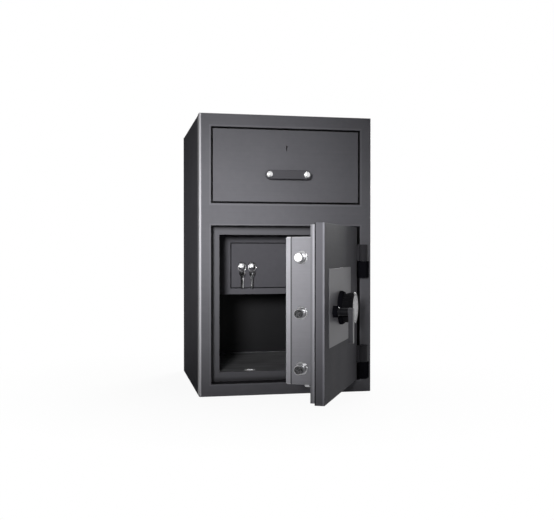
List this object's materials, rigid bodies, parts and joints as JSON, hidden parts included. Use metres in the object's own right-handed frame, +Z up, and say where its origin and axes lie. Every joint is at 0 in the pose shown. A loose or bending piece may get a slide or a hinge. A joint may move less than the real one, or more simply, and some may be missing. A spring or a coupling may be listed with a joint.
{
  "type": "combination lock safe",
  "caption": "Deposit safe with a drop drawer over a thick hinged door that carries a combination dial, lever handle and round locking bolts, and a small two-key locker inside.",
  "frame": {"origin": "centre of the underside of the body, where it stands on the floor", "axes": "+X to the right seen from the front, +Y from the front to the back, +Z up; the door stands open as in the picture"},
  "size_m": [0.48, 0.8655, 0.762],
  "materials": {
    "body_paint": "satin charcoal powder coat",
    "lining_paint": "satin dark grey paint",
    "door_paint": "satin charcoal powder coat",
    "box_paint": "satin mid grey paint",
    "locker_paint": "satin grey paint",
    "fill": "cast fill",
    "plated_steel": "bright nickel plate",
    "steel": "bare machined steel",
    "key_steel": "nickel silver",
    "plate_grey": "satin light grey",
    "black_trim": "satin black",
    "lever_grey": "satin grey",
    "dial_black": "semi-gloss black",
    "dial_silver": "satin anodised",
    "lock_brass": "machined",
    "nylon": "natural"
  },
  "bodies": {
    "safe": {"outer_wrap": "body_paint", "base_plate": "body_paint", "back_plate": "body_paint", "front_frame": "body_paint", "chamber_liner": "lining_paint", "hopper_liner": "lining_paint", "wall_fill": "fill", "side_keepers": "plated_steel", "floor_keeper": "plated_steel", "anti_fish_baffle": "lining_paint", "drawer_runners": "steel", "locker_box": "lining_paint", "body_hinges": "black_trim", "hinge_pins": "steel", "locker_hinge_pins": "locker_paint"},
    "door": {"door_plate": "door_paint", "door_step": "door_paint", "boltwork_channel": "box_paint", "boltwork_cover": "box_paint", "cover_screws": "steel", "bolt_collars": "plated_steel", "faceplate": "plate_grey", "dial_ring": "black_trim", "lock_case": "lock_brass", "lock_cover": "lock_brass", "handle_rose": "black_trim", "door_hinges": "black_trim"},
    "handle": {"handle_lever": "lever_grey", "handle_spindle": "steel", "bolt_crank": "steel"},
    "boltwork": {"bolt_carriage": "steel", "locking_bolt_top": "plated_steel", "locking_bolt_middle": "plated_steel", "locking_bolt_bottom": "plated_steel"},
    "foot_bolt": {"bottom_bolt": "plated_steel"},
    "dial": {"dial_knob": "dial_black", "dial_face": "dial_silver", "dial_spindle": "lock_brass", "drive_cam": "lock_brass", "wheel_pack": "lock_brass"},
    "lock_slide": {"lock_bolt": "lock_brass"},
    "drawer": {"drawer_front": "door_paint", "drawer_tray": "lining_paint", "drawer_pull": "lever_grey", "pull_screws": "plated_steel", "drawer_slides": "nylon", "drawer_lock": "lock_brass"},
    "drawer_latch": {"drawer_bolt": "steel"},
    "locker_leaf": {"locker_door": "locker_paint", "locker_hinge_leaves": "locker_paint", "locker_lock_shells": "plated_steel", "left_key_ring": "steel", "left_spare_key": "key_steel", "right_key_ring": "steel", "right_spare_key": "key_steel"},
    "left_lock": {"left_plug": "steel", "left_key": "key_steel"},
    "right_lock": {"right_plug": "steel", "right_key": "key_steel"}
  },
  "joints": [
    {"name": "door_swing", "type": "hinge", "parent": "safe", "child": "door", "pos_m": [0.212, -0.259, 0.247], "axis": [0, 0, 1], "range_deg": [-62.4, 52.6]},
    {"name": "handle_turn", "type": "hinge", "parent": "door", "child": "handle", "pos_m": [0.04949, -0.53964, 0.247], "axis": [-0.8862, 0.4633, 0], "range_deg": [0, 80]},
    {"name": "bolt_throw", "type": "slide", "parent": "door", "child": "boltwork", "axis": [-0.4633, -0.8862, 0], "range_m": [0, 0.026]},
    {"name": "foot_bolt_throw", "type": "slide", "parent": "door", "child": "foot_bolt", "axis": [0, 0, -1], "range_m": [0, 0.014]},
    {"name": "dial_turn", "type": "hinge", "parent": "door", "child": "dial", "pos_m": [0.08887, -0.46432, 0.251], "axis": [0.8862, -0.4633, 0], "continuous": true},
    {"name": "lock_bolt_slide", "type": "slide", "parent": "door", "child": "lock_slide", "axis": [0, 0, 1], "range_m": [0, 0.009]},
    {"name": "drawer_slide", "type": "slide", "parent": "safe", "child": "drawer", "axis": [0, -1, 0], "range_m": [0, 0.22]},
    {"name": "drawer_latch_slide", "type": "slide", "parent": "drawer", "child": "drawer_latch", "axis": [0, 0, 1], "range_m": [0, 0.01]},
    {"name": "locker_door_swing", "type": "hinge", "parent": "safe", "child": "locker_leaf", "pos_m": [0.13305, -0.0945, 0.3503], "axis": [0, 0, 1], "range_deg": [0, 55]},
    {"name": "left_key_turn", "type": "hinge", "parent": "locker_leaf", "child": "left_lock", "pos_m": [-0.1008, -0.095, 0.3503], "axis": [0, 1, 0], "range_deg": [0, 90]},
    {"name": "right_key_turn", "type": "hinge", "parent": "locker_leaf", "child": "right_lock", "pos_m": [-0.0718, -0.095, 0.3503], "axis": [0, -1, 0], "range_deg": [0, 90]}
  ],
  "couplings": [
    {"joint": "handle_turn", "follows": "bolt_throw", "rad_per_m": 53.7},
    {"joint": "foot_bolt_throw", "follows": "bolt_throw", "ratio": 0.5384}
  ]
}
